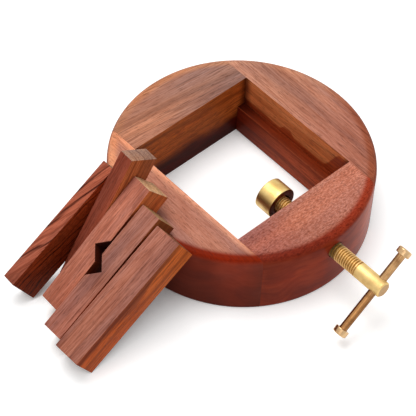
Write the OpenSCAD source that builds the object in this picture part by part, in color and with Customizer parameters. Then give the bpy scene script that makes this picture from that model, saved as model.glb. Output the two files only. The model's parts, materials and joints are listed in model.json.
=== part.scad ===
// Round seal carving vise: a glued hardwood ring round a square opening, a brass clamp screw
// with a swivel pad and a sliding cross bar, and five loose packing blocks that lean on the ring.
// Millimetres, +Z up. The origin is the centre of the ring on the plane that it stands on.
// The screw lies along Y, with its handle towards -Y.

/* [Ring] */
// Outside diameter of the ring
ring_d = 125; // [122:1:150]
// Height of the ring
ring_h = 33.5; // [32:0.5:45]
// Side of the square opening
opening = 70; // [60:1:72]
// Radius of the rounded upper outer edge
rim_round = 3; // [0.5:0.5:5]
// Radius of the eased lower outer edge
foot_round = 0.8; // [0.2:0.2:2]

/* [Ledges] */
// How far a ledge stands out from its cheek
ledge_w = 5; // [3:0.5:8]
// Height of the ledges above the base
ledge_h = 16.5; // [10:0.5:20]

/* [Joint dowels] */
// Diameter of the dowels across the glue joints
dowel_d = 4; // [3:0.5:6]
// Length of the dowels
dowel_len = 30; // [26:1:34]
// Distance of the dowels' axes from the wall of the opening
dowel_inset = 4; // [3.5:0.5:7]
// Height of the lower dowel in each joint
dowel_low = 8; // [5:0.5:12]
// Spacing between the two dowels of a joint
dowel_pitch = 17; // [10:0.5:20]
// Wood left over the middle of a dowel's outer end
dowel_cover = 3; // [2:0.5:6]
// Free space beyond each end of a dowel
dowel_end_gap = 0.3; // [0.1:0.1:1]

/* [Clamp screw] */
// Height of the screw's axis above the base
screw_z = 23.5; // [18:0.5:26]
// Diameter of the screw over its thread and of its smooth head
screw_d = 7.9; // [6.5:0.1:8.4]
// Length of thread that stands out of the wall
thread_out = 14.6; // [6:0.1:25]
// Length of the smooth head
head_len = 16; // [10:0.1:30]
// Bevel round the end of the head
head_bevel = 0.7; // [0.2:0.1:1.5]
// Width of the run-out groove between thread and head
groove_w = 0.7; // [0.3:0.1:1.5]
// Depth of the run-out groove
groove_depth = 0.4; // [0.1:0.1:1]
// Diameter of the spigot that carries the pad
spigot_d = 5; // [4:0.1:5.6]
// Radial clearance of the screw in its hole through the wood
hole_gap = 0.25; // [0.15:0.05:0.5]

/* [Threaded bush] */
// Outside diameter of the bush
bush_d = 11; // [10:0.1:14]
// Length of the bush
bush_len = 16; // [8:0.5:24]
// How far the bush stands out of the wall behind the pad
bush_proud = 0.3; // [0.2:0.1:1]
// Width of the flat lip round the countersunk mouth of the bush
bush_lip = 0.8; // [0.2:0.1:0.9]

/* [Swivel pad] */
// Diameter of the pad
pad_d = 16; // [13:0.5:20]
// Length of the pad
pad_len = 9.3; // [8:0.1:14]
// Free space between the pad's back and the wall behind it
pad_gap = 7.7; // [1:0.1:20]
// Rounding of the pad's edges
pad_round = 0.5; // [0.1:0.1:1]
// Diameter of the recess round the screw in the pad's back
pad_back_d = 9.8; // [9:0.1:12]
// Depth of the recess in the pad's back
pad_back_depth = 2.4; // [1:0.1:3]
// Diameter of the recess in the pad's front
pad_front_d = 8; // [7.2:0.1:11]
// Depth of the recess in the pad's front
pad_front_depth = 2.7; // [2.4:0.1:3.5]

/* [Pad screw] */
// Diameter of the pad screw's head
pad_screw_head_d = 6.6; // [5.5:0.1:7]
// Height of the pad screw's head
pad_screw_head_h = 1.8; // [1:0.1:2]
// Diameter of the pad screw's shank
pad_screw_d = 2.5; // [2:0.1:3]
// Length of the pad screw's shank
pad_screw_len = 7; // [4:0.5:12]
// Width of the pad screw's driver slot
slot_w = 0.9; // [0.5:0.1:1.4]
// Depth of the pad screw's driver slot
slot_depth = 0.8; // [0.3:0.1:1]

/* [Tommy bar] */
// Diameter of the cross bar
bar_d = 4; // [3:0.1:5]
// Free length of the bar between its end caps
bar_span = 42; // [30:0.1:70]
// How far the middle of the bar is slid away from the screw, towards the upper cap
bar_shift = -3.7; // [-10:0.1:10]
// Slope of the bar above the horizontal
bar_tilt = 36.6; // [0:0.1:180]
// Distance of the cross hole from the end of the head
bar_from_end = 3.9; // [3.4:0.1:7]
// Diameter of an end cap
cap_d = 6.9; // [6:0.1:10]
// Thickness of an end cap
cap_t = 3.2; // [2.5:0.1:6]
// Depth of the socket in an end cap
cap_socket = 2; // [1:0.1:2.3]
// Rounding of an end cap's edges
cap_round = 0.5; // [0.1:0.1:0.9]

/* [Packing blocks] */
// Play of the blocks between the cheeks
block_play = 1.5; // [0.5:0.1:4]
// How far the blocks lie below the top of the ring when they rest on the ledges
block_drop = 0.5; // [0:0.1:2]
// Width of the thin plain blocks
thin_w = 7.8; // [6:0.1:12]
// Width of the notched blocks
vee_w = 10.8; // [8:0.1:16]
// Width of the wide plain block
wide_w = 14.2; // [12:0.1:20]
// Mouth of the V notch
vee_mouth = 11.8; // [6:0.1:14]
// Depth of the V notch
vee_depth = 5.5; // [3:0.1:7]

/* [Leaning blocks] */
// Sideways place, along the rim, at which the row of leaning blocks starts
row_start = -29.1; // [-32:0.1:-24]
// Gap at the rim between the wide block and the right notched block
gap_wide_vee = 0.6; // [0.3:0.1:3]
// Gap at the rim between the two notched blocks
gap_vee_vee = 0.8; // [0.6:0.1:3]
// Gap at the rim between the left notched block and the inner thin block
gap_vee_thin = 0.4; // [0.3:0.1:3]
// Gap at the rim between the two thin blocks
gap_thin_thin = 1; // [0.9:0.1:3]
// Distance of the wide block's foot from the ring's wall
wide_stand = 53.5; // [40:0.1:62]
// Distance of the right notched block's foot from the ring's wall
vee_right_stand = 49.4; // [32:0.1:60]
// Distance of the left notched block's foot from the ring's wall
vee_left_stand = 38.3; // [25:0.1:55]
// Distance of the inner thin block's foot from the ring's wall
thin_inner_stand = 18.6; // [15:0.1:34]
// Distance of the outer thin block's foot from the ring's wall
thin_outer_stand = 46.7; // [30:0.1:55]
// Heading of the wide block, in degrees from +X
wide_heading = 0.6; // [-0.3:0.1:2]
// Heading of the right notched block
vee_right_heading = -0.1; // [-2:0.1:0.8]
// Heading of the left notched block
vee_left_heading = -2.4; // [-2.8:0.1:-1.5]
// Heading of the inner thin block
thin_inner_heading = -2.4; // [-2.8:0.1:-2]
// Heading of the outer thin block
thin_outer_heading = -1.1; // [-3:0.1:-0.7]

/* [Fits] */
// Radial clearance of a running fit
run_gap = 0.05; // [0.02:0.01:0.1]
// Radial clearance of a glued or pressed fit
glue_gap = 0.03; // [0.01:0.01:0.1]
// Gap between a leaning block and the rim
lean_gap = 0.3; // [0.2:0.1:1]

/* [Hidden] */
$fn = 96;

// Overshoot of a cutting tool past the face that it cuts
cut = 1;
ring_r = ring_d / 2;
half_open = opening / 2;

// The dowels reach as far into the cheeks as the cover at their outer ends allows
dowel_y = half_open + dowel_inset;
dowel_out = sqrt(pow(ring_r - dowel_cover, 2) - pow(dowel_y, 2));

// Places along the screw's axis, as Y
bush_y = -half_open + bush_proud - bush_len;
head_y = -ring_r - thread_out - head_len;
bar_y = head_y + bar_from_end;
pad_y = -half_open + pad_gap;
shoulder_y = pad_y + pad_back_depth - run_gap;
nose_y = pad_y + pad_len - pad_front_depth + run_gap;
screw_r = screw_d / 2;

block_len = opening - block_play;
block_h = ring_h - ledge_h - block_drop;

// Middles of the leaning blocks along the rim
wide_y = row_start + wide_w / 2;
vee_right_y = wide_y + (wide_w + vee_w) / 2 + gap_wide_vee;
vee_left_y = vee_right_y + vee_w + gap_vee_vee;
thin_inner_y = vee_left_y + (vee_w + thin_w) / 2 + gap_vee_thin;
thin_outer_y = thin_inner_y + thin_w + gap_thin_thin;

wood_top = "#a8604a";
wood_jaw = "#8f4a38";
wood_ledge = "#7d3323";
wood_block = "#96543f";
wood_dowel = "#c79a6b";
brass = "#d8b45f";
brass_bar = "#c08a4e";

// Half section of a turned disc with rounded lower and upper edges
module turned_section(r, h, low, high) {
    square([r - max(low, high), h]);
    translate([0, low])
        square([r, h - low - high]);
    square([r - low, h / 2]);
    translate([0, h / 2])
        square([r - high, h / 2]);
    translate([r - low, low])
        circle(low);
    translate([r - high, h - high])
        circle(high);
}

// Turns what is drawn along Z to lie along the screw, from the given Y towards +Y
module along_screw(y) {
    translate([0, y, screw_z])
        rotate([-90, 0, 0])
            children();
}

// Turns what is drawn along Z to lie along the cross bar, from the screw's axis
module along_bar() {
    translate([0, bar_y, screw_z])
        rotate([0, 90 - bar_tilt, 0])
            children();
}

module ring_blank() {
    rotate_extrude()
        turned_section(ring_r, ring_h, foot_round, rim_round);
}

// Pegs across the four glue joints, two to a joint, each made longer at both ends by end_gap
module dowel_pegs(r, end_gap) {
    for (side = [-1, 1], y = [-dowel_y, dowel_y], z = [dowel_low, dowel_low + dowel_pitch])
        translate([side * (dowel_out - dowel_len / 2), y, z])
            rotate([0, 90, 0])
                cylinder(h = dowel_len + 2 * end_gap, r = r, center = true);
}

module dowel_holes() {
    dowel_pegs(dowel_d / 2 + glue_gap, dowel_end_gap);
}

// One side of the ring, beyond the opening, on the +X side
module cheek_blank() {
    intersection() {
        ring_blank();
        translate([half_open, -ring_r - cut, -cut])
            cube([ring_r, ring_d + 2 * cut, ring_h + 2 * cut]);
    }
}

// The part of the ring between the cheeks, on the +Y side
module jaw_blank() {
    intersection() {
        ring_blank();
        translate([-half_open, half_open, -cut])
            cube([opening, ring_r, ring_h + 2 * cut]);
    }
}

module cheek_right() {
    color(wood_top)
        difference() {
            cheek_blank();
            dowel_holes();
        }
}

module cheek_left() {
    color(wood_top)
        difference() {
            mirror([1, 0, 0])
                cheek_blank();
            dowel_holes();
        }
}

module rear_block() {
    color(wood_jaw)
        difference() {
            jaw_blank();
            dowel_holes();
        }
}

module screw_block() {
    color(wood_jaw)
        difference() {
            mirror([0, 1, 0])
                jaw_blank();
            dowel_holes();
            along_screw(-ring_r - cut)
                cylinder(h = ring_r - half_open + 2 * cut, r = screw_r + hole_gap);
            along_screw(bush_y)
                cylinder(h = bush_len + cut, r = bush_d / 2 + glue_gap);
        }
}

module ledge_strip() {
    translate([half_open - ledge_w, -half_open, 0])
        cube([ledge_w, opening, ledge_h]);
}

module ledge_right() {
    color(wood_ledge)
        ledge_strip();
}

module ledge_left() {
    color(wood_ledge)
        mirror([1, 0, 0])
            ledge_strip();
}

module joint_dowels() {
    color(wood_dowel)
        dowel_pegs(dowel_d / 2, 0);
}

module threaded_bush() {
    bore_r = screw_r + run_gap;
    mouth_r = bush_d / 2 - bush_lip;
    color(brass)
        along_screw(bush_y)
            rotate_extrude()
                polygon([
                    [bore_r, 0], [bush_d / 2, 0], [bush_d / 2, bush_len], [mouth_r, bush_len],
                    [bore_r, bush_len - mouth_r + bore_r]
                ]);
}

// Thread and head are turned to one diameter, with a run-out groove between them
module clamp_screw() {
    groove_at = head_len - groove_w;
    groove_r = screw_r - groove_depth;
    color(brass)
        difference() {
            along_screw(head_y)
                rotate_extrude()
                    polygon([
                        [0, 0], [screw_r - head_bevel, 0], [screw_r, head_bevel],
                        [screw_r, groove_at], [groove_r, groove_at], [groove_r, head_len], [screw_r, head_len],
                        [screw_r, shoulder_y - head_y], [spigot_d / 2, shoulder_y - head_y],
                        [spigot_d / 2, nose_y - head_y], [0, nose_y - head_y]
                    ]);
            along_screw(nose_y - pad_screw_len)
                cylinder(h = pad_screw_len + cut, r = pad_screw_d / 2 + glue_gap);
            along_bar()
                cylinder(h = screw_d + 2 * cut, r = bar_d / 2 + run_gap, center = true);
        }
}

module swivel_pad() {
    color(brass)
        difference() {
            along_screw(pad_y)
                rotate_extrude()
                    turned_section(pad_d / 2, pad_len, pad_round, pad_round);
            along_screw(pad_y - cut)
                cylinder(h = pad_back_depth + cut, r = pad_back_d / 2);
            along_screw(pad_y)
                cylinder(h = pad_len, r = spigot_d / 2 + run_gap);
            along_screw(pad_y + pad_len - pad_front_depth)
                cylinder(h = pad_front_depth + cut, r = pad_front_d / 2);
        }
}

module pad_screw() {
    color(brass)
        along_screw(nose_y - pad_screw_len)
            difference() {
                union() {
                    cylinder(h = pad_screw_len + pad_screw_head_h, r = pad_screw_d / 2);
                    translate([0, 0, pad_screw_len])
                        cylinder(h = pad_screw_head_h, r = pad_screw_head_d / 2);
                }
                translate([-pad_screw_head_d / 2 - cut, -slot_w / 2, pad_screw_len + pad_screw_head_h - slot_depth])
                    cube([pad_screw_head_d + 2 * cut, slot_w, slot_depth + cut]);
            }
}

module tommy_bar() {
    color(brass_bar)
        along_bar()
            translate([0, 0, bar_shift])
                cylinder(h = bar_span + 2 * cap_socket, r = bar_d / 2, center = true);
}

// End cap above the bar's upper end, with the bar in its socket
module bar_cap() {
    difference() {
        translate([0, 0, bar_span / 2])
            rotate_extrude()
                turned_section(cap_d / 2, cap_t, cap_round, cap_round);
        cylinder(h = bar_span / 2 + cap_socket, r = bar_d / 2 + glue_gap);
    }
}

module bar_cap_upper() {
    color(brass_bar)
        along_bar()
            translate([0, 0, bar_shift])
                bar_cap();
}

module bar_cap_lower() {
    color(brass_bar)
        along_bar()
            translate([0, 0, bar_shift])
                mirror([0, 0, 1])
                    bar_cap();
}

// Sideways distance of a block's middle line from the ring's centre
function line_offset(y, heading) = ring_r * sin(heading) + y * cos(heading);

// Distance of a block's foot from the ring's centre, along its heading
function foot_distance(y, heading, stand) = ring_r * cos(heading) - y * sin(heading) + stand;

// Distance of the rim's rounding from the ring's centre, at a sideways distance from it
function rim_reach(side) = sqrt(pow(ring_r - rim_round, 2) - side * side);

function near_side(offset, w) = max(0, abs(offset) - w / 2);
function far_side(offset, w) = abs(offset) + w / 2;

// Slope at which a block's lower face just clears the rounded rim
function lean_pitch(run, rise) = atan2(rise, run) + asin((rim_round + lean_gap) / norm([run, rise]));

// Leans a block on the rim. A settled block also rolls onto the curve of the rim.
module lean(y, heading, stand, w, settled) {
    offset = line_offset(y, heading);
    foot = foot_distance(y, heading, stand);
    near = rim_reach(near_side(offset, w));
    far = rim_reach(far_side(offset, w));
    pitch = lean_pitch(foot - (settled ? far : near), ring_h - rim_round);
    roll = settled ? asin(sin(pitch) * (near - far) / w) : 0;
    rotate([0, 0, heading])
        translate([-foot, offset + w / 2, 0])
            rotate([0, -pitch, 0])
                rotate([-roll, 0, 0])
                    translate([0, -w, 0])
                        children();
}

module plain_block(w) {
    cube([block_len, w, block_h]);
}

// A block with a V notch half way along its -Y side
module notched_block() {
    difference() {
        plain_block(vee_w);
        translate([block_len / 2, 0, -cut])
            linear_extrude(block_h + 2 * cut)
                polygon([
                    [-vee_mouth / 2, 0], [-vee_mouth / 2, -cut], [vee_mouth / 2, -cut],
                    [vee_mouth / 2, 0], [0, vee_depth]
                ]);
    }
}

module thin_block_outer() {
    color(wood_block)
        lean(thin_outer_y, thin_outer_heading, thin_outer_stand, thin_w, true)
            plain_block(thin_w);
}

module thin_block_inner() {
    color(wood_block)
        lean(thin_inner_y, thin_inner_heading, thin_inner_stand, thin_w, false)
            plain_block(thin_w);
}

module vee_block_left() {
    color(wood_block)
        lean(vee_left_y, vee_left_heading, vee_left_stand, vee_w, false)
            notched_block();
}

module vee_block_right() {
    color(wood_block)
        lean(vee_right_y, vee_right_heading, vee_right_stand, vee_w, false)
            translate([0, vee_w, 0])
                mirror([0, 1, 0])
                    notched_block();
}

module wide_block() {
    color(wood_block)
        lean(wide_y, wide_heading, wide_stand, wide_w, false)
            plain_block(wide_w);
}

cheek_right();
cheek_left();
rear_block();
screw_block();
ledge_right();
ledge_left();
joint_dowels();
threaded_bush();
clamp_screw();
swivel_pad();
pad_screw();
tommy_bar();
bar_cap_upper();
bar_cap_lower();
thin_block_outer();
thin_block_inner();
vee_block_left();
vee_block_right();
wide_block();
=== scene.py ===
"""Looks of a round seal carving vise: hardwood ring, brass clamp screw and five loose packing blocks."""
import json
import math

import bmesh
import bpy
from mathutils import Matrix, Vector


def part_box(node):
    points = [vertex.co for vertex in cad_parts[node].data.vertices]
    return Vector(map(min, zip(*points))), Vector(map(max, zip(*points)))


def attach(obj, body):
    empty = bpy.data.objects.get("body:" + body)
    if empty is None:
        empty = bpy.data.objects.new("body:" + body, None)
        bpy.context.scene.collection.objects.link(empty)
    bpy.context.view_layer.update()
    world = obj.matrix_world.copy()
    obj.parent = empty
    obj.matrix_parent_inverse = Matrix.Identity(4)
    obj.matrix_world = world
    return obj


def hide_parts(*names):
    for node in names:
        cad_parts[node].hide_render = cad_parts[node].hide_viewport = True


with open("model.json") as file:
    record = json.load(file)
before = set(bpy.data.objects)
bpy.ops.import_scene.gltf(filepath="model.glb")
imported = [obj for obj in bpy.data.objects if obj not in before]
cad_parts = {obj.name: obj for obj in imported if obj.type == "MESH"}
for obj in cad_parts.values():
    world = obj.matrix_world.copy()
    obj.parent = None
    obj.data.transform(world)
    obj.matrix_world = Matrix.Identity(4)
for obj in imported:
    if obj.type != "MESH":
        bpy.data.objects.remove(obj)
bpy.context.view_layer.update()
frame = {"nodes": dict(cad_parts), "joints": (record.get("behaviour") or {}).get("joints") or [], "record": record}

MM = 0.001
nodes = frame["nodes"]
joints = {joint["name"]: joint for joint in frame["joints"]}

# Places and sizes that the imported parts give. The skin keeps the ring inside their box.
SKIN = 0.01 * MM
RING_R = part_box("cheek_right")[1].x - SKIN
RING_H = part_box("cheek_right")[1].z
HALF_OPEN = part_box("cheek_right")[0].x
SCREW_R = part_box("clamp_screw")[1].x
SCREW_AXIS = Vector(joints["screw_turn"]["axis"])
SCREW_POINT = Vector(joints["screw_turn"]["pos_m"])
BAR_AXIS = Vector(joints["bar_slide"]["axis"])

# Wood: roundings of the ring, and the width of the eased edges
RIM_ROUND = 3 * MM
FOOT_ROUND = 0.8 * MM
RING_EASE = 0.12 * MM
LEDGE_EASE = 0.6 * MM
BLOCK_EASE = 0.18 * MM

# Gaps of glued, running and drilled fits
GLUE_GAP = 0.03 * MM
DOWEL_END_GAP = 0.3 * MM
RUN_GAP = 0.05 * MM
HOLE_GAP = 0.25 * MM

# Clamp screw and bush. A flank's height, from 0 to 1, falls from its start by its slope over half a turn.
PITCH = 1.25 * MM
FLANK_START = 1.35
FLANK_SLOPE = 1.7
THREAD_DEPTH = 0.7 * MM
HEAD_LEN = 16 * MM
HEAD_BEVEL = 0.7 * MM
GROOVE_W = 0.7 * MM
GROOVE_DEPTH = 0.4 * MM
SPIGOT_R = 2.5 * MM
BUSH_LIP = 0.8 * MM
BUSH_THREAD_DEPTH = 0.6 * MM

# Swivel pad and the screw that keeps it
PAD_ROUND = 0.5 * MM
PAD_MOUTH_ROUND = 0.15 * MM
PAD_BACK_R = 4.9 * MM
PAD_BACK_DEPTH = 2.4 * MM
PAD_FRONT_R = 4 * MM
PAD_FRONT_DEPTH = 2.7 * MM
PAD_SCREW_R = 1.25 * MM
PAD_SCREW_HEAD_H = 1.8 * MM
PAD_SCREW_TIP_ROUND = 0.3 * MM
PAD_SCREW_NECK_ROUND = 0.1 * MM
PAD_SCREW_TOP_ROUND = 0.5 * MM
SLOT_W = 0.9 * MM
SLOT_DEPTH = 0.8 * MM

# Cross bar and its caps
BAR_CHAMFER = 0.2 * MM
CAP_SOCKET = 2 * MM
CAP_MOUTH_ROUND = 0.1 * MM
CAP_ROUND_IN = 0.4 * MM
CAP_ROUND_OUT = 0.8 * MM

# Mesh steps, angle of a sharp edge, distance of doubled points, and reach of a cutter past what it cuts
TURN_STEPS = 64
ARC_STEPS = 96
FILLET_STEPS = 6
THREAD_ROWS = 12
SHARP = math.radians(30)
WELD = 0.001 * MM
PAST = 5 * MM


# Meshes

def filleted(corners, steps=FILLET_STEPS):
    """Outline through (x, y, fillet) corners, with an arc at each corner that has a fillet."""
    outline = []
    for i, (x, y, fillet) in enumerate(corners):
        corner = Vector((x, y))
        if not fillet:
            outline.append(corner)
            continue
        back = (Vector(corners[i - 1][:2]) - corner).normalized()
        ahead = (Vector(corners[(i + 1) % len(corners)][:2]) - corner).normalized()
        half = back.angle(ahead) / 2
        centre = corner + (back + ahead).normalized() * fillet / math.sin(half)
        start = corner + back * fillet / math.tan(half) - centre
        bend = math.copysign(math.pi - 2 * half, ahead.cross(back))
        outline += [centre + Matrix.Rotation(bend * k / steps, 2) @ start for k in range(steps + 1)]
    return [tuple(point) for point in outline]


def thread_wave(phase):
    """Height of a thread, from 0 in the root to 1 on the crest, over one turn."""
    away = abs(phase % 1 - 0.5) * 2
    return min(max(FLANK_START - FLANK_SLOPE * away, 0), 1)


def turned(outline, closed=False, start=0.0):
    """Mesh of an outline of (radius, place along the axis), turned about Z.
    A third number in a point is the depth of the thread there, and start sets where its turns lie."""
    mesh = bmesh.new()
    rings = []
    for radius, place, *thread in outline:
        if radius == 0:
            rings.append([mesh.verts.new((0, 0, place))] * TURN_STEPS)
            continue
        ring = []
        for k in range(TURN_STEPS):
            turn = k / TURN_STEPS
            angle = 2 * math.pi * turn
            root = sum(thread) * (1 - thread_wave((place + start) / PITCH - turn))
            spoke = Vector((math.cos(angle), math.sin(angle), 0)) * (radius - root)
            ring.append(mesh.verts.new(spoke + Vector((0, 0, place))))
        rings.append(ring)
    pairs = list(zip(rings, rings[1:]))
    if closed:
        pairs.append((rings[-1], rings[0]))
    for low, high in pairs:
        for k in range(TURN_STEPS):
            n = (k + 1) % TURN_STEPS
            corners = [low[k], low[n], high[n], high[k]]
            mesh.faces.new(list(dict.fromkeys(corners)))
    bmesh.ops.recalc_face_normals(mesh, faces=mesh.faces)
    return mesh


def stacked(outlines):
    """Closed mesh through outlines of (x, y, z) points, from the lowest to the highest."""
    mesh = bmesh.new()
    rings = [[mesh.verts.new(point) for point in outline] for outline in outlines]
    for low, high in zip(rings, rings[1:]):
        for k in range(len(low)):
            n = (k + 1) % len(low)
            mesh.faces.new((low[k], low[n], high[n], high[k]))
    mesh.faces.new(rings[0])
    mesh.faces.new(rings[-1])
    bmesh.ops.recalc_face_normals(mesh, faces=mesh.faces)
    return mesh


def slab(low, high):
    """Closed box mesh between two corners."""
    outline = [(low.x, low.y), (high.x, low.y), (high.x, high.y), (low.x, high.y)]
    return stacked([[(x, y, z) for x, y in outline] for z in (low.z, high.z)])


def eased(mesh, width, segments=2):
    """Rounds every sharp edge of a mesh."""
    edges = [e for e in mesh.edges if e.calc_face_angle(0) > SHARP]
    bmesh.ops.bevel(
        mesh, geom=edges, offset=width, segments=segments,
        profile=0.5, affect="EDGES", clamp_overlap=True,
    )
    return mesh


def axis_frame(point, axis):
    """Frame at a point, with Z along an axis."""
    return Matrix.Translation(point) @ axis.to_track_quat("Z", "Y").to_matrix().to_4x4()


def rod(start, end, radius):
    """Plain cylinder mesh between two points, used to drill holes."""
    length = (end - start).length
    mesh = turned([(0, 0), (radius, 0), (radius, length), (0, length)])
    mesh.transform(axis_frame(start, end - start))
    return mesh


def object_from(name, mesh, place):
    """Object at a place, from a mesh that is drawn in the part's frame."""
    mesh.transform(place.inverted())
    data = bpy.data.meshes.new(name)
    mesh.to_mesh(data)
    mesh.free()
    piece = bpy.data.objects.new(name, data)
    bpy.context.scene.collection.objects.link(piece)
    piece.matrix_world = place
    return piece


def drilled(piece, cutters):
    """Cuts meshes that are drawn in the part's frame out of a piece."""
    for k, cutter in enumerate(cutters):
        tool = object_from(f"{piece.name}_cutter_{k}", cutter, Matrix.Identity(4))
        cut = piece.modifiers.new("cut", "BOOLEAN")
        cut.operation = "DIFFERENCE"
        cut.solver = "EXACT"
        cut.object = tool
        bpy.context.view_layer.update()
        graph = bpy.context.evaluated_depsgraph_get()
        result = bpy.data.meshes.new_from_object(piece.evaluated_get(graph))
        piece.modifiers.remove(cut)
        piece.data = result
        bpy.data.objects.remove(tool)
    return piece


def dress(piece, node):
    """Gives a piece its finish, and lets it stand for a node on that node's body."""
    piece.data.materials.clear()
    piece.data.materials.append(finish_of(node))
    piece.data.shade_smooth()
    piece.data.set_sharp_from_angle(angle=SHARP)
    body = next(b for b, members in frame["record"]["behaviour"]["bodies"].items() if node in members)
    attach(piece, body)
    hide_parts(node)


def turned_extent(node, point, axis):
    """Lowest and highest place along an axis, and largest radius about it, of a turned node."""
    offsets = [v.co - point for v in nodes[node].data.vertices]
    places = [o.dot(axis) for o in offsets]
    radius = max((o - axis * p).length for o, p in zip(offsets, places))
    return min(places), max(places), radius


def screw_extent(node):
    """Extent of a node that is turned about the screw's axis."""
    return turned_extent(node, SCREW_POINT, SCREW_AXIS)


def on_screw(place):
    """Point at a place along the screw's axis."""
    return SCREW_POINT + SCREW_AXIS * place


# Node trees

WHITE = (1, 1, 1)


def srgb(code):
    """Linear colour of a six-digit screen colour."""
    channels = [int(code[k:k + 2], 16) / 255 for k in (0, 2, 4)]
    linear = [c / 12.92 if c <= 0.04045 else ((c + 0.055) / 1.055) ** 2.4 for c in channels]
    return (*linear, 1)


class Shader:
    """Builds the node tree of one material or world."""

    def __init__(self, owner):
        owner.use_nodes = True
        self.owner = owner
        self.tree = owner.node_tree
        self.tree.nodes.clear()

    def node(self, kind, inputs, **settings):
        """New node, with sockets linked and other values set on its inputs."""
        node = self.tree.nodes.new("ShaderNode" + kind)
        for key, value in settings.items():
            setattr(node, key, value)
        for key, value in inputs.items():
            if isinstance(value, bpy.types.NodeSocket):
                self.tree.links.new(value, node.inputs[key])
            else:
                node.inputs[key].default_value = value
        return node

    def math(self, operation, a, b=0.0):
        return self.node("Math", {0: a, 1: b}, operation=operation).outputs[0]

    def vector(self, operation, a, b=(0, 0, 0)):
        return self.node("VectorMath", {0: a, 1: b}, operation=operation).outputs[0]

    def length(self, vector):
        return self.node("VectorMath", {0: vector}, operation="LENGTH").outputs["Value"]

    def split(self, vector):
        return self.node("SeparateXYZ", {0: vector}).outputs

    def remap(self, value, low, high, to_low=0.0, to_high=1.0):
        """Smooth step between two values."""
        inputs = {0: value, 1: low, 2: high, 3: to_low, 4: to_high}
        return self.node("MapRange", inputs, interpolation_type="SMOOTHSTEP").outputs[0]

    def mix(self, factor, a, b, blend="MIX"):
        """Mix of two colours."""
        return self.node("Mix", {0: factor, 6: a, 7: b}, data_type="RGBA", blend_type=blend).outputs[2]

    def mix_values(self, factor, a, b):
        return self.node("Mix", {0: factor, 2: a, 3: b}, data_type="FLOAT").outputs[0]

    def multiplied(self, tone, colour):
        return self.mix(1.0, tone, colour, "MULTIPLY")

    def shaded(self, tone, value, low, high, dark, light):
        """Multiplies a tone by a grade from a dark to a light colour."""
        return self.multiplied(tone, self.mix(self.remap(value, low, high), (*dark, 1), (*light, 1)))

    def noise(self, vector, scale, detail=2.0, roughness=0.5):
        inputs = {"Vector": vector, "Scale": scale, "Detail": detail, "Roughness": roughness}
        return self.node("TexNoise", inputs).outputs["Fac"]

    def stretched_noise(self, vector, scales, detail=2.0, roughness=0.5):
        """Noise with a scale of its own along each axis."""
        stretched = self.node("Mapping", {"Vector": vector, "Scale": scales}).outputs[0]
        return self.noise(stretched, 1.0, detail, roughness)

    def noise_along(self, value, scale, detail=2.0):
        inputs = {"W": value, "Scale": scale, "Detail": detail}
        return self.node("TexNoise", inputs, noise_dimensions="1D").outputs["Fac"]

    def output(self, surface):
        self.node("OutputMaterial", {"Surface": surface})
        return self.owner


class Looks:
    """Named values of one finish. What isn't given keeps the value of its class."""

    def __init__(self, **values):
        vars(self).update(values)


# Wood: the tone of each face

# How far a face looks one way, where it has none and all of a tone
TOP_FACING = (0.6, 0.97)
END_FACING = (0.6, 0.9)
NOTCH_SHADE_FACING = (0.4, 0.6)
EDGE_HIGHLIGHT_FACING = (0.2, 0.45)
RIM_FACING = (0.2, 0.9)
FLAT_FACING = (0.2, 0.8)

# Distances from the ring's wall and from its opening over which tones change
WALL_DEPTH = 5 * MM
RIM_BLEND = 3 * MM
# Stretch over which the rim's painted light changes along the piece
RIM_CHANGE = 20 * MM
# Painted shade in the corners of the ring's opening: its width, and the colour that multiplies the tone
CORNER_SHADE_WIDTH = 5 * MM
CORNER_PAINTED_SHADE = (0.3, 0.24, 0.22, 1)
# Painted highlight along the opening's edge: where it starts and ends
EDGE_HIGHLIGHT_FROM = 0.5 * MM
EDGE_HIGHLIGHT_TO = 4 * MM
# Noise of the wavy line below which the sides take their low tone
LOW_EDGE_SCALES = (55, 70, 70)
LOW_EDGE_RANGE = (0.25, 0.75)


class Wood(Looks):
    """One piece of wood: the tones of its faces, and its grain, which runs along X beside its pith.
    Places on the piece are in millimetres. A grade is where it starts and ends along the piece, and the
    colours that multiply the tone there."""
    # Growth streaks: strength, distance between them, and the colour that multiplies the tone
    streak = 0.5
    pitch = 5.0
    tint = "8a6f74"
    # Fibres: strength of the dark veins, turn about Z, run and contrast. A smaller run makes them longer.
    veins = 0.4
    slant = 0.03
    run = 70
    contrast = 0.9
    # Upper edge of the low tone on the sides, a wavy line, in the form that its function takes
    low_edge = ()
    # Grades of the top, and painted shading along the sides and along the turned wall
    top_grade = ()
    side_painted_shading = ()
    wall_painted_shading = ()
    # Painted highlight: colour that multiplies the top beside the opening; painted shading: lightness of the wall
    # at its base and its top
    painted_edge_highlight = ()
    wall_shade_by_height = (1.0, 1.0)
    # Specular level, and weight of the clear coat
    polish = 0.08
    lacquer = 0.0


def place_on(shader, coords):
    """Place on a piece along, across and up."""
    return shader.split(coords.outputs["Object"])


def facing(shader, coords):
    """How far a face looks along, across and up, each from 0 to 1."""
    return shader.split(shader.vector("ABSOLUTE", coords.outputs["Normal"]))


def near_rim(shader, coords, start, end):
    """0 inside a distance from the ring's wall, and 1 past another."""
    reach = shader.length(shader.vector("MULTIPLY", coords.outputs["Object"], (1, 1, 0)))
    return shader.remap(reach, RING_R - start, RING_R - end)


def graded(shader, coords, tone, start, end, first, last):
    """Multiplies a tone by a grade of two colours, between two places along the piece in millimetres."""
    along = place_on(shader, coords)[0]
    return shader.shaded(tone, along, start * MM, end * MM, first, last)


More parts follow.
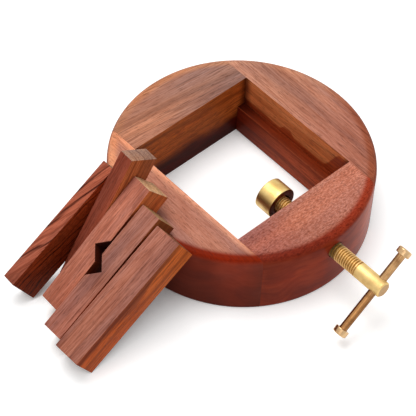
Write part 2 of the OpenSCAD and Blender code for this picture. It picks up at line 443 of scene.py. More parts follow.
def above_low_edge(shader, coords, grain, height, wave, edge, rises=()):
    """0 below and 1 above the wavy upper edge of the low tone, in millimetres.
    Each rise is where along the piece the edge starts and stops to climb, and by how much."""
    along, _, up = place_on(shader, coords)
    wander = shader.stretched_noise(grain, LOW_EDGE_SCALES, detail=2.5)
    line = shader.remap(wander, *LOW_EDGE_RANGE, (height - wave) * MM, (height + wave) * MM)
    for start, end, climb in rises:
        line = shader.math("ADD", line, shader.remap(along, start * MM, end * MM, 0, climb * MM))
    return shader.remap(shader.math("SUBTRACT", up, line), -edge * MM, edge * MM)


def side_tone(shader, coords, grain, look):
    """Tone of the sides: low below a wavy line, painted shading along them, painted shade in the opening's
    corners.
    """
    tone = srgb(look.tones["side"])
    if "low" in look.tones:
        above = above_low_edge(shader, coords, grain, *look.low_edge)
        tone = shader.mix(above, srgb(look.tones["low"]), tone)
    # Painted light and shade along the sides
    for grade in look.side_painted_shading:
        tone = graded(shader, coords, tone, *grade)
    # Painted shade in the corners of the ring's opening
    if "wall" in look.tones:
        away = shader.math("ABSOLUTE", place_on(shader, coords)[0])
        corner = shader.remap(away, HALF_OPEN - CORNER_SHADE_WIDTH, HALF_OPEN)
        tone = shader.mix(corner, tone, shader.multiplied(tone, CORNER_PAINTED_SHADE))
    return tone


def top_tone(shader, coords, look):
    """Tone of the top, with its grade and a painted highlight on the strip beside the opening."""
    tone = srgb(look.tones["top"])
    if look.top_grade:
        tone = graded(shader, coords, tone, *look.top_grade)
    # Painted highlight on the strip of the top beside the opening
    if look.painted_edge_highlight:
        away = shader.math("ABSOLUTE", place_on(shader, coords)[1])
        start = HALF_OPEN + EDGE_HIGHLIGHT_FROM
        end = HALF_OPEN + EDGE_HIGHLIGHT_TO
        tone = shader.shaded(tone, away, start, end, look.painted_edge_highlight, WHITE)
    return tone


def rim_tone(shader, coords, tones):
    """Tone of the ring's rounded upper edge, which painted light makes lighter toward one end of some pieces."""
    tone = srgb(tones["rim"])
    # Painted light: the rim lighter toward one end
    if "rim_lit_end" in tones:
        change = shader.remap(place_on(shader, coords)[0], -RIM_CHANGE, RIM_CHANGE)
        tone = shader.mix(change, tone, srgb(tones["rim_lit_end"]))
    return tone


def wall_tone(shader, coords, look):
    """Tone of the ring's turned wall, with painted shading from the base to the top and along the piece."""
    # Painted shading: the wall lighter or darker toward its base
    low, high = look.wall_shade_by_height
    up = place_on(shader, coords)[2]
    tone = shader.shaded(srgb(look.tones["wall"]), up, 0, RING_H, (low, low, low), (high, high, high))
    # Painted shadow of the blocks, and a painted sheen toward the screw block's right end
    for grade in look.wall_painted_shading:
        tone = graded(shader, coords, tone, *grade)
    return tone


def face_tone(shader, coords, grain, look):
    """Tone of a face by the way that it looks: top, side, end, notch, eased edge or the ring's wall, partly
    painted light.
    """
    along, across, up = facing(shader, coords)
    tones = look.tones
    top = top_tone(shader, coords, look)
    sides = side_tone(shader, coords, grain, look)
    faces = shader.mix(shader.remap(along, *END_FACING), sides, srgb(tones["end"]))
    # Painted shade in the V notch's groove
    if "notch" in tones:
        slanted = shader.remap(shader.math("MINIMUM", along, across), *NOTCH_SHADE_FACING)
        faces = shader.mix(slanted, faces, srgb(tones["notch"]))
    # Painted highlight on the ledge's eased edges
    if "edge" in tones:
        slanted = shader.remap(shader.math("MINIMUM", across, up), *EDGE_HIGHLIGHT_FACING)
        faces = shader.mix(slanted, faces, srgb(tones["edge"]))
        top = shader.mix(slanted, top, srgb(tones["edge"]))
    if "wall" in tones:
        rim = rim_tone(shader, coords, tones)
        outer = shader.mix(shader.remap(up, *RIM_FACING), wall_tone(shader, coords, look), rim)
        faces = shader.mix(near_rim(shader, coords, WALL_DEPTH, RIM_ROUND), faces, outer)
        top = shader.mix(near_rim(shader, coords, RIM_ROUND + RIM_BLEND, RIM_ROUND), top, rim)
    return shader.mix(shader.remap(up, *TOP_FACING), faces, top)


# Wood: the grain

# Scales are noise frequencies per metre, ranges are levels of the noise, and tints multiply the tone
GRAIN_TILT = 0.02
FIGURE_SCALES = (14, 60, 60)
FIGURE_RANGE = (0.3, 0.7)
FIGURE_TINTS = ((0.9, 0.85, 0.82), (1.1, 1.12, 1.12))
HUE_SCALES = (10, 120, 120)
HUE_RANGE = (0.35, 0.65)
HUE_TINTS = ((0.9, 0.94, 1.0), (1.1, 1.06, 0.99))
STREAK_WANDER_SCALES = (9, 45, 45)
STREAK_WANDER = 12 * MM
STREAK_RANGE = (0.44, 0.7)
LINE_SCALES = (12, 900, 900)
LINE_RANGE = (0.38, 0.6)
LINE_LEVELS = (0.6, 1)
FIBRE_ACROSS = 1500
FIBRE_SPREAD = 0.2
FIBRE_TINTS = ((0.82, 0.71, 0.65), (1.17, 1.28, 1.34))
VEIN_RUN = 0.7
VEIN_ACROSS = 1300
VEIN_RANGE = (0.54, 0.66)
PORE_RUN = 4
PORE_ACROSS = 2600
PORE_RANGE = (0.58, 0.7)
PORE_STRENGTH = 0.4
PORE_TONE = "3a1a14"

# Lines on the ring's turned wall
WALL_WAVE_SCALES = (22, 22, 8)
WALL_WAVE = 50 * MM
WALL_LINE_SCALES = (25, 25, 520)
WALL_CLOUD_SCALE = 70
WALL_CLOUD_SHARE = 0.6
WALL_RANGE = (0.3, 0.7)
WALL_LEVELS = (0.32, 0.68)

# Surface of the oiled wood
WOOD_SHEEN = (1.0, 0.62, 0.48, 1)
WOOD_ROUGHNESS = (0.48, 0.6)
WOOD_ROUGH_RANGE = (0.2, 0.8)
WOOD_BUMP = 0.2
WOOD_BUMP_DEPTH = 0.05 * MM
FIBRE_HEIGHT = 0.4
LACQUER_ROUGHNESS = 0.2
LACQUER_IOR = 1.15


def growth_streaks(shader, grain, pitch):
    """Soft dark streaks along X, in layers about the grain's axis, with finer lines in them."""
    wander = shader.stretched_noise(grain, STREAK_WANDER_SCALES, detail=3.0)
    depth = shader.length(shader.vector("MULTIPLY", grain, (0, 1, 1)))
    depth = shader.math("ADD", depth, shader.math("MULTIPLY", wander, STREAK_WANDER))
    bands = shader.remap(shader.noise_along(depth, 1 / pitch, detail=1.5), *STREAK_RANGE)
    lines = shader.remap(shader.stretched_noise(grain, LINE_SCALES), *LINE_RANGE, *LINE_LEVELS)
    return shader.math("MULTIPLY", bands, lines)


def wall_lines(shader, coords):
    """Clouds and long level lines with a slow wave, as on the turned wall of the ring."""
    wave = shader.stretched_noise(coords.outputs["Object"], WALL_WAVE_SCALES)
    lift = shader.node("CombineXYZ", {"Z": shader.math("MULTIPLY", wave, WALL_WAVE)}).outputs[0]
    waved = shader.vector("ADD", coords.outputs["Object"], lift)
    lines = shader.stretched_noise(waved, WALL_LINE_SCALES, detail=3.0, roughness=0.6)
    clouds = shader.noise(coords.outputs["Object"], WALL_CLOUD_SCALE, detail=3.0)
    return shader.remap(shader.mix_values(WALL_CLOUD_SHARE, lines, clouds), *WALL_RANGE, *WALL_LEVELS)


def fibres(shader, coords, grain, look):
    """Fibres, dark veins and pores along the grain. The ring's turned wall has its own lines instead."""
    fibre_scales = (look.run, FIBRE_ACROSS, FIBRE_ACROSS)
    vein_scales = (look.run * VEIN_RUN, VEIN_ACROSS, VEIN_ACROSS)
    pore_scales = (look.run * PORE_RUN, PORE_ACROSS, PORE_ACROSS)
    fibre = shader.stretched_noise(grain, fibre_scales, detail=3.0, roughness=0.65)
    vein = shader.remap(shader.stretched_noise(grain, vein_scales, detail=1.0), *VEIN_RANGE)
    pore = shader.remap(shader.stretched_noise(grain, pore_scales, detail=1.0), *PORE_RANGE)
    if "wall" in look.tones:
        flat = shader.remap(facing(shader, coords)[2], *FLAT_FACING)
        inner = shader.math("SUBTRACT", 1.0, near_rim(shader, coords, WALL_DEPTH, RIM_ROUND))
        plain = shader.math("MAXIMUM", flat, inner)
        fibre = shader.mix_values(plain, wall_lines(shader, coords), fibre)
        vein = shader.math("MULTIPLY", vein, plain)
        pore = shader.math("MULTIPLY", pore, plain)
    return fibre, vein, pore


def grained(shader, grain, tone, look, fibre, vein, pore):
    """Puts the figure, the streaks, the fibres and the pores onto the tone of a face."""
    figure = shader.stretched_noise(grain, FIGURE_SCALES)
    hue = shader.stretched_noise(grain, HUE_SCALES)
    streaks = shader.math("MULTIPLY", growth_streaks(shader, grain, look.pitch * MM), look.streak)
    dark = shader.math("MAXIMUM", streaks, shader.math("MULTIPLY", vein, look.veins))
    spread = FIBRE_SPREAD / look.contrast
    tone = shader.shaded(tone, figure, *FIGURE_RANGE, *FIGURE_TINTS)
    tone = shader.shaded(tone, hue, *HUE_RANGE, *HUE_TINTS)
    tone = shader.mix(dark, tone, shader.multiplied(tone, srgb(look.tint)))
    tone = shader.shaded(tone, fibre, 0.5 - spread, 0.5 + spread, *FIBRE_TINTS)
    return shader.mix(shader.math("MULTIPLY", pore, PORE_STRENGTH), tone, srgb(PORE_TONE))


def wood(name, look):
    """Oiled hardwood with its grain along X: tones of its faces, growth streaks, fibres and pores."""
    shader = Shader(bpy.data.materials.new("wood_" + name))
    coords = shader.node("TexCoord", {})
    turn = (0, GRAIN_TILT, look.slant)
    placed = {"Vector": coords.outputs["Object"], "Location": look.pith, "Rotation": turn}
    grain = shader.node("Mapping", placed).outputs[0]
    fibre, vein, pore = fibres(shader, coords, grain, look)
    tone = face_tone(shader, coords, grain, look)
    tone = grained(shader, grain, tone, look, fibre, vein, pore)
    height = shader.math("SUBTRACT", shader.math("MULTIPLY", fibre, FIBRE_HEIGHT), pore)
    relief = {"Strength": WOOD_BUMP, "Distance": WOOD_BUMP_DEPTH, "Height": height}
    surface = shader.node("BsdfPrincipled", {
        "Base Color": tone, "Roughness": shader.remap(fibre, *WOOD_ROUGH_RANGE, *WOOD_ROUGHNESS),
        "Specular IOR Level": look.polish, "Specular Tint": WOOD_SHEEN,
        "Normal": shader.node("Bump", relief).outputs[0],
        "Coat Weight": look.lacquer, "Coat Roughness": LACQUER_ROUGHNESS, "Coat IOR": LACQUER_IOR,
    })
    return shader.output(surface.outputs[0])


# Brass

# Scales and ranges as for the wood. An edge is the width over which a tone fades.
TARNISH_SCALE = 140
TARNISH_RANGE = (0.35, 0.75)
TARNISH_STRENGTH = 0.8
MARK_RANGE = (0.3, 0.75)
MARK_BUMP = 0.12
MARK_DEPTH = 0.02 * MM
SPECK_SCALE = 900
SPECK_RANGE = (0.5, 0.8)
SPECK_ROUGHNESS = 0.1
TARNISH_ROUGH_RANGE = (0.3, 0.8)
TARNISH_ROUGHNESS = 0.12
# Dirt and painted shade below a radius: its edge and strength
DIRT_SHADE_EDGE = 0.4 * MM
DIRT_SHADE_STRENGTH = 0.85
# Painted shadow at the hole's mouth: its edge, strength and tone
MOUTH_SHADOW_EDGE = 1.5 * MM
MOUTH_SHADOW_STRENGTH = 0.85
MOUTH_SHADOW_TONE = "4a3016"
END_DEPTH = 0.1 * MM


class Brass(Looks):
    """One turned piece of brass, with a bright and a dull tone. Its axis is Z, from its near end."""
    # Dirt and painted shade below a radius, from a place along the axis
    dirt_and_shade = ""
    dirt_and_shade_radius = 0.0
    dirt_and_shade_from = 0.0
    # Stale tone from the same place, and the stretch of it, mostly hidden by its hole at rest, that takes a
    # painted shadow from the hole's mouth
    stale = ""
    mouth_shadow = ()
    # Tone of the near end; on the pad, painted shade
    end = ""
    # Noise scales of the tool marks, and their strength
    marks = (0, 0, 5200)
    drawn = 0.25
    # Where a grade starts and ends along the axis, and the colours that multiply the tone there; on the bar,
    # painted shade
    grade = ()
    # Roughness where the brass is clean
    gloss = 0.2


def stale_dirt_and_shade(shader, place, tone, look):
    """Puts the stale tone, the painted shadow of the hole's mouth, and dirt and painted shade onto a tone."""
    axial = shader.split(place)[2]
    radius = shader.length(shader.vector("MULTIPLY", place, (1, 1, 0)))
    # Dirt and painted shade below a radius
    below = shader.remap(radius, look.dirt_and_shade_radius - DIRT_SHADE_EDGE, look.dirt_and_shade_radius, DIRT_SHADE_STRENGTH, 0)
    past = shader.math("GREATER_THAN", axial, look.dirt_and_shade_from)
    if look.stale:
        # Painted shadow of the hole's mouth on the thread near and in the hole
        start, stop = look.mouth_shadow
        shadow_begins = shader.remap(axial, start - MOUTH_SHADOW_EDGE, start, 0, MOUTH_SHADOW_STRENGTH)
        left = shader.remap(axial, stop - MOUTH_SHADOW_EDGE, stop)
        tone = shader.mix(past, tone, srgb(look.stale))
        tone = shader.mix(shader.math("SUBTRACT", shadow_begins, left), tone, srgb(MOUTH_SHADOW_TONE))
    return shader.mix(shader.math("MULTIPLY", below, past), tone, srgb(look.dirt_and_shade))


def brass(name, look):
    """Turned brass about Z: tool marks, uneven tarnish, dirt and painted shade, and the tone of the near end."""
    shader = Shader(bpy.data.materials.new("brass_" + name))
    place = shader.node("TexCoord", {}).outputs["Object"]
    axial = shader.split(place)[2]
    tarnish = shader.noise(place, TARNISH_SCALE, detail=4.0, roughness=0.6)
    lines = shader.stretched_noise(place, look.marks)
    specks = shader.noise(place, SPECK_SCALE, detail=3.0)
    dulled = shader.remap(tarnish, *TARNISH_RANGE, 0, TARNISH_STRENGTH)
    tone = shader.mix(dulled, srgb(look.bright), srgb(look.dull))
    tone = shader.mix(shader.remap(lines, *MARK_RANGE, 0, look.drawn), tone, srgb(look.dull))
    if look.grade:
        tone = shader.shaded(tone, axial, *look.grade)
    if look.dirt_and_shade:
        tone = stale_dirt_and_shade(shader, place, tone, look)
    if look.end:
        tone = shader.mix(shader.math("LESS_THAN", axial, END_DEPTH), tone, srgb(look.end))
    rough = shader.remap(tarnish, *TARNISH_ROUGH_RANGE, look.gloss, look.gloss + TARNISH_ROUGHNESS)
    rough = shader.math("ADD", rough, shader.remap(specks, *SPECK_RANGE, 0, SPECK_ROUGHNESS))
    bump = shader.node("Bump", {"Strength": MARK_BUMP, "Distance": MARK_DEPTH, "Height": lines})
    surface = shader.node("BsdfPrincipled", {
        "Base Color": tone, "Metallic": 1.0, "Roughness": rough, "Normal": bump.outputs[0],
    })
    return shader.output(surface.outputs[0])


# Finishes

# Height of the thread's crests that the dirt and painted shade leave bright, stretch of the thread, mostly hidden
# by its hole at rest, that takes a painted shadow from the hole's mouth, reach of the painted shade past the
# recess in the pad's back, and stretch over which the bar's painted shade changes
CREST_UNSHADED = 0.15 * MM
MOUTH_SHADOW_THREAD = (HEAD_LEN + 12.5 * MM, HEAD_LEN + 41 * MM)
RECESS_SHADE = 0.1 * MM
BAR_PAINTED_SHADE = (18 * MM, 30 * MM)

# Tones by facing are partly the wood's own and partly painted light: the tops carry a painted sheen, and the
# sides' and walls' tones stand in part for how they are lit
WOODS = {
    # Rim painted lighter toward the rear: painted light
    "cheek_right": Wood(
        tones={
            "top": "ba7d69", "side": "e6844d", "low": "b44c26", "end": "8a6248",
            "wall": "8a3924", "rim": "a05a42", "rim_lit_end": "cc8e72",
        },
        pith=(0.2, 0.02, 0.06), streak=0.35, pitch=6,
        low_edge=(19, 0.6, 0.9, ((11, 7, 3), (4, 0, -3.4), (-19, -29, 13))),
        top_grade=(-30, 30, (0.95, 0.9, 0.92), (1.06, 1.12, 1.07)),
    ),
    # Painted highlight beside the opening, a rim painted lighter toward the rear, and on the wall a painted shadow
    # of the blocks, darker toward its base
    "cheek_left": Wood(
        tones={
            "top": "bc7f6c", "side": "96502a", "low": "5c2a1c", "end": "8a6248",
            "wall": "8c3929", "rim": "862105", "rim_lit_end": "de9470",
        },
        pith=(0.5, -0.03, 0.08), streak=0.08, pitch=7, veins=0.12, run=110, contrast=0.7,
        low_edge=(22, 4, 1.6), painted_edge_highlight=(1.8, 1.8, 1.5), wall_shade_by_height=(0.75, 1.2),
        top_grade=(-47, -33, (0.66, 0.6, 0.62), WHITE),
        wall_painted_shading=(
            (-52, -46, (0.82, 0.95, 1.0), (1.05, 1.02, 1.0)),
            (-44, -34, WHITE, (0.65, 0.65, 0.65)),
        ),
    ),
    "rear_block": Wood(
        tones={
            "top": "b7816b", "side": "d06b2d", "low": "510f05", "end": "8a6248",
            "wall": "7a3020", "rim": "cb8a68",
        },
        pith=(0.9, 0.01, 0.05), tint="66545a", streak=0.55, slant=0.1, contrast=0.75,
        low_edge=(12.5, 2, 4.5), top_grade=(-30, 30, (1.14, 1.05, 0.96), (0.82, 0.88, 0.98)),
    ),
    # Painted highlight beside the opening; on the wall, painted shade near the blocks, and a painted sheen and a
    # lighter rim toward the right end
    "screw_block": Wood(
        tones={
            "top": "c67b64", "side": "8c4822", "low": "44201a", "end": "8a6248",
            "wall": "a0391f", "rim": "822b1a", "rim_lit_end": "a63b21",
        },
        pith=(1.3, 0.03, 0.09), streak=0.25, pitch=7, run=700, contrast=1.5,
        low_edge=(11, 9, 1.6), painted_edge_highlight=(1.06, 1.2, 1.3), wall_shade_by_height=(1.0, 0.9),
        top_grade=(-26, -4, (0.84, 0.79, 0.9), WHITE),
        wall_painted_shading=((-35, -24, (0.82, 0.86, 0.86), WHITE), (4, 30, WHITE, (1.6, 2.0, 1.8))),
        polish=0.05, lacquer=0.45,
    ),
    # Painted highlight on the eased edges, and painted shade toward the rear corner on the top and the sides
    "ledge": Wood(
        tones={"top": "822f13", "side": "ba5232", "end": "6a4030", "edge": "bc5a34"},
        pith=(1.7, 0.02, 0.04), pitch=4,
        top_grade=(10, 34, WHITE, (0.3, 0.25, 0.3)),
        side_painted_shading=((-5, 34, (1.1, 1.15, 1.12), (0.36, 0.2, 0.16)),),
    ),
    "thin_block_outer": Wood(
        tones={"top": "a95b45", "side": "8c3618", "end": "9a7458"},
        pith=(2.1, 0.02, 0.03), tint="5c3934", streak=1.0, pitch=1, slant=0.35,
    ),
    "thin_block_inner": Wood(
        tones={"top": "954733", "side": "bf683d", "end": "b58a73"},
        pith=(2.5, 0.015, 0.04), streak=0.75, pitch=2.5,
    ),
    # Sides painted darker over most of their length: painted shade
    "vee_block_left": Wood(
        tones={"top": "be7560", "side": "d67542", "end": "e6ba8e", "notch": "4a1c12"},
        pith=(2.9, 0.02, 0.05), streak=0.4, pitch=4,
        side_painted_shading=((18, 25, (0.24, 0.15, 0.15), WHITE),),
    ),
    # Sides painted lighter at one end and darker in the middle: painted shading
    "vee_block_right": Wood(
        tones={"top": "a1695b", "side": "8a4a26", "end": "a5805c", "notch": "4a1c12"},
        pith=(3.3, 0.03, 0.03), streak=0.18, pitch=4,
        top_grade=(-32, 2, (1.36, 1.22, 1.14), WHITE),
        side_painted_shading=((-14, 4, (5.0, 5.5, 6.0), WHITE), (18, 28, (0.4, 0.3, 0.3), WHITE)),
    ),
    # Sides painted lighter toward the upper end: painted light
    "wide_block": Wood(
        tones={"top": "ab6c5a", "side": "a04a2c", "low": "d76530", "end": "8a5a3c"},
        pith=(3.7, 0.01, 0.05), pitch=4, low_edge=(2.5, 2.5, 2, ((8, 30, 5),)),
        side_painted_shading=((-10, 30, WHITE, (1.3, 1.6, 1.5)),),
    ),
    "dowel": Wood(
        tones={"top": "c79a6b", "side": "c79a6b", "end": "b0845a"},
        pith=(4.1, 0.02, 0.02), streak=0.2, pitch=3,
    ),
}
BRASSES = {
    # Dirt and painted shade in the thread, and a painted shadow of the hole's mouth on it
    "screw": Brass(
        bright="e6c888", dull="c8a468", stale="dcb478", end="b8966c", gloss=0.52,
        dirt_and_shade="a8823e", dirt_and_shade_radius=SCREW_R - CREST_UNSHADED, dirt_and_shade_from=HEAD_LEN - GROOVE_W,
        mouth_shadow=MOUTH_SHADOW_THREAD,
    ),
    # Painted shade on the back end and in the recesses
    "pad": Brass(
        bright="eed28c", dull="c69c58", end="7c3a20", gloss=0.34,
        dirt_and_shade="682a16", dirt_and_shade_radius=PAD_BACK_R + RECESS_SHADE,
    ),
    # Dirt and painted shade in the bore
    "bush": Brass(
        bright="dcb764", dull="a87a34", dirt_and_shade="80591f", dirt_and_shade_radius=SCREW_R + BUSH_THREAD_DEPTH,
    ),
    "pad_screw": Brass(bright="d9b25e", dull="9c7030"),
    # Painted shade: darker toward the lower end
    "bar": Brass(
        bright="d8aa76", dull="5a3014", gloss=0.22, marks=(1100, 1100, 15), drawn=0.9,
        grade=(*BAR_PAINTED_SHADE, (0.76, 0.64, 0.53), (1.0, 1.02, 1.03)),
    ),
    "cap": Brass(bright="d6b488", dull="9a7048", gloss=0.22),
}
FINISHES = {name: wood(name, look) for name, look in WOODS.items()}
FINISHES |= {name: brass(name, look) for name, look in BRASSES.items()}
NODE_FINISH = {
    "ledge_right": "ledge", "ledge_left": "ledge", "joint_dowels": "dowel", "clamp_screw": "screw",
    "swivel_pad": "pad", "threaded_bush": "bush", "tommy_bar": "bar",
    "bar_cap_upper": "cap", "bar_cap_lower": "cap",
}


def finish_of(node):
    """Material of a node."""
    return FINISHES[NODE_FINISH.get(node, node)]


def cad_nodes():
    """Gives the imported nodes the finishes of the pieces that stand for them."""
    for name, node in nodes.items():
        node.data.materials.clear()
        node.data.materials.append(finish_of(name))


# The ring

ALONG_X = Matrix.Identity(4)
ALONG_Y = Matrix.Rotation(math.pi / 2, 4, "Z")


def wall_levels():
    """(radius, height) of the ring's turned wall, from the base to the top."""
    corners = [(0, 0, 0), (RING_R, 0, FOOT_ROUND), (RING_R, RING_H, RIM_ROUND), (0, RING_H, 0)]
    return filleted(corners)[1:-1]


def arc(radius, z, middle, half):
    """Points at one height on a circle about Z, over half an angle to each side of its middle."""
    angles = [middle + half * (2 * k / ARC_STEPS - 1) for k in range(ARC_STEPS + 1)]
    return [(radius * math.cos(a), radius * math.sin(a), z) for a in angles]


def cheek_outline(radius, z):
    """Segment of the ring beyond the opening, on the +X side."""
    return arc(radius, z, 0, math.acos(HALF_OPEN / radius))


def jaw_outline(radius, z):
    """Part of the ring between the cheeks, on the +Y side."""
    outer = arc(radius, z, math.pi / 2, math.asin(HALF_OPEN / radius))
    return outer + [(-HALF_OPEN, HALF_OPEN, z), (HALF_OPEN, HALF_OPEN, z)]


def dowel_drills():
    """Cutters for the dowel holes, one for each separate dowel, in the order of the mesh."""
    mesh = bmesh.new()
    mesh.from_mesh(nodes["joint_dowels"].data)
    bmesh.ops.remove_doubles(mesh, verts=mesh.verts, dist=WELD)
    left = dict.fromkeys(mesh.verts)
    drills = []
    while left:
        found = [left.popitem()[0]]
        for vert in found:
            for edge in vert.link_edges:
                near = edge.other_vert(vert)
                if near in left:
                    del left[near]
                    found.append(near)
        low = Vector([min(v.co[k] for v in found) for k in range(3)])
        high = Vector([max(v.co[k] for v in found) for k in range(3)])
        middle = (low + high) / 2
        reach = Vector(((high.x - low.x) / 2 + DOWEL_END_GAP, 0, 0))
        drills.append(rod(middle - reach, middle + reach, (high.z - low.z) / 2 + GLUE_GAP))
    mesh.free()
    return drills


def screw_drills():
    """Cutters for the screw's hole and for the wider seat of the bush on the opening's side."""
    low, high, radius = screw_extent("threaded_bush")
    inside = on_screw(high + PAST)
    seat = rod(on_screw(low), inside, radius + GLUE_GAP)
    hole = rod(on_screw(-PAST), inside, SCREW_R + HOLE_GAP)
    return [seat, hole]


def ring_piece(node, outline, turn, grain, drills):
    """One glued piece of the ring, drawn on one side and turned to its own."""
    mesh = eased(stacked([outline(radius, z) for radius, z in wall_levels()]), RING_EASE, 1)
    mesh.transform(Matrix.Rotation(turn, 4, "Z"))
    dress(drilled(object_from(f"{node}_wood", mesh, grain), drills), node)


def ring():
    ring_piece("cheek_right", cheek_outline, 0, ALONG_Y, dowel_drills())
    ring_piece("cheek_left", cheek_outline, math.pi, ALONG_Y, dowel_drills())
    ring_piece("rear_block", jaw_outline, 0, ALONG_X, dowel_drills())
    ring_piece("screw_block", jaw_outline, math.pi, ALONG_X, dowel_drills() + screw_drills())


def ledges():
    for node in ("ledge_right", "ledge_left"):
        mesh = eased(slab(*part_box(node)), LEDGE_EASE)
        dress(object_from(f"{node}_wood", mesh, ALONG_Y), node)


def dowels():
    mesh = bmesh.new()
    mesh.from_mesh(nodes["joint_dowels"].data)
    dress(object_from("joint_dowels_wood", mesh, ALONG_X), "joint_dowels")


# The packing blocks

BLOCKS = ("thin_block_outer", "thin_block_inner", "vee_block_left", "vee_block_right", "wide_block")

# Dot product of normals that are opposite, and of those on other axes, and decimals of a point in metres
OPPOSITE = -0.999
OTHER_AXIS = 0.5
PLACES = 6


def block_frame(node):
    """Frame of a block, with X along it, Y across it and Z through it, and its half sizes."""
    data = nodes[node].data
    normals = [p.normal for p in data.polygons]
    axes = []
    for normal in normals:
        paired = any(normal.dot(other) < OPPOSITE for other in normals)
        if paired and all(abs(normal.dot(axis)) < OTHER_AXIS for axis in axes):
            axes.append(normal.copy())
    spans = [[v.co.dot(axis) for v in data.vertices] for axis in axes]
    order = sorted(range(3), key=lambda k: min(spans[k]) - max(spans[k]))
    middle = sum((axes[k] * (min(spans[k]) + max(spans[k])) / 2 for k in order), Vector())
    length, through, across = [(max(spans[k]) - min(spans[k])) / 2 for k in order]
    x, z = [axes[k] * (1 if axes[k].z > 0 else -1) for k in order[:2]]
    turn = Matrix((x, z.cross(x), z)).transposed().to_4x4()
    return Matrix.Translation(middle) @ turn, (length, across, through)


def block_outline(node, place, half):
    """Plan of a block, with the corners of its V notch where it has one."""
    length, across, _ = half
    inverse = place.inverted()
    local = {tuple(round(c, PLACES) for c in inverse @ v.co) for v in nodes[node].data.vertices}
    notch = sorted((x, y) for x, y, z in local if abs(x) < length - MM and z > 0)
    low_side = [(-length, -across), (length, -across)]
    high_side = [(length, across), (-length, across)]
    if notch and notch[0][1] < 0:
        low_side[1:1] = notch
    elif notch:
        high_side[1:1] = notch[::-1]
    return low_side + high_side


def blocks():
    for node in BLOCKS:
        place, half = block_frame(node)
        outline = block_outline(node, place, half)
        levels = [[(x, y, z) for x, y in outline] for z in (-half[2], half[2])]
        mesh = eased(stacked(levels), BLOCK_EASE)
        mesh.transform(place)
        dress(object_from(f"{node}_wood", mesh, place), node)


# The brass

def turned_piece(node, point, axis, mesh, cutters=()):
    """Puts a mesh that is turned about Z onto an axis, to stand for a node."""
    place = axis_frame(point, axis)
    mesh.transform(place)
    dress(drilled(object_from(f"{node}_brass", mesh, place), cutters), node)


def bar_point():
    """Middle of the cross bar."""
    low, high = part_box("tommy_bar")
    return (low + high) / 2


def bar_radius():
    return turned_extent("tommy_bar", bar_point(), BAR_AXIS)[2]


def screw_thread(radius, end):
    """Outline of the thread, which runs out at the head and at its end, and the step of its points."""
    rows = round((end - HEAD_LEN) / PITCH * THREAD_ROWS)
    step = (end - HEAD_LEN) / rows
    thread = []
    for k in range(rows + 1):
        run_out = min(step * k / PITCH, step * (rows - k) / PITCH, 1)
        thread.append((radius, HEAD_LEN + step * k, THREAD_DEPTH * run_out))
    return thread, step


def bar_drill(radius):
    """Cutter for the cross hole in the screw's head."""
    reach = BAR_AXIS * (radius + PAST)
    across = bar_point() + BAR_AXIS * (SCREW_POINT - bar_point()).dot(BAR_AXIS)
    return rod(across - reach, across + reach, bar_radius() + RUN_GAP)


def clamp_screw():
    low, high, radius = screw_extent("clamp_screw")
    shoulder = screw_extent("swivel_pad")[0] + PAD_BACK_DEPTH - RUN_GAP - low
    nose = high - low
    bore = screw_extent("pad_screw")[0] - low
    bore_r = PAD_SCREW_R + GLUE_GAP
    groove_r = radius - GROOVE_DEPTH
    thread, step = screw_thread(radius, shoulder)
    outline = [(0, 0), (radius - HEAD_BEVEL, 0), (radius, HEAD_BEVEL), (radius, HEAD_LEN - GROOVE_W)]
    outline += [(groove_r, HEAD_LEN - GROOVE_W), (groove_r, HEAD_LEN - step / 2)]
    outline += thread
    outline += [(SPIGOT_R, shoulder), (SPIGOT_R, nose), (bore_r, nose), (bore_r, bore), (0, bore)]
    mesh = turned(outline, start=low)
    turned_piece("clamp_screw", on_screw(low), SCREW_AXIS, mesh, [bar_drill(radius)])


def swivel_pad():
    low, high, radius = screw_extent("swivel_pad")
    length = high - low
    seat = length - PAD_FRONT_DEPTH
    bore = SPIGOT_R + RUN_GAP
    outline = filleted([
        (PAD_BACK_R, 0, PAD_MOUTH_ROUND), (radius, 0, PAD_ROUND), (radius, length, PAD_ROUND),
        (PAD_FRONT_R, length, PAD_MOUTH_ROUND), (PAD_FRONT_R, seat, 0), (bore, seat, 0),
        (bore, PAD_BACK_DEPTH, 0), (PAD_BACK_R, PAD_BACK_DEPTH, 0),
    ])
    mesh = turned(outline, closed=True)
    turned_piece("swivel_pad", on_screw(low), SCREW_AXIS, mesh)


def threaded_bush():
    low, high, radius = screw_extent("threaded_bush")
    length = high - low
    bore = SCREW_R + RUN_GAP
    mouth = radius - BUSH_LIP
    top = length - (mouth - bore)
    rows = round(top / PITCH * THREAD_ROWS)
    inner = [(bore, top * k / rows, -BUSH_THREAD_DEPTH) for k in range(rows, -1, -1)]
    outline = [(radius, 0), (radius, length), (mouth, length)] + inner
    mesh = turned(outline, closed=True, start=low)
    turned_piece("threaded_bush", on_screw(low), SCREW_AXIS, mesh)


def pad_screw():
    low, high, radius = screw_extent("pad_screw")
    length = high - low
    neck = length - PAD_SCREW_HEAD_H
    mesh = turned(filleted([
        (0, 0, 0), (PAD_SCREW_R, 0, PAD_SCREW_TIP_ROUND), (PAD_SCREW_R, neck, 0),
        (radius, neck, PAD_SCREW_NECK_ROUND), (radius, length, PAD_SCREW_TOP_ROUND), (0, length, 0),
    ]))
    end = on_screw(high)
    half = Vector((radius + MM, 0, SLOT_W / 2))
    slot = slab(end - half - SCREW_AXIS * SLOT_DEPTH, end + half + SCREW_AXIS * MM)
    turned_piece("pad_screw", on_screw(low), SCREW_AXIS, mesh, [slot])


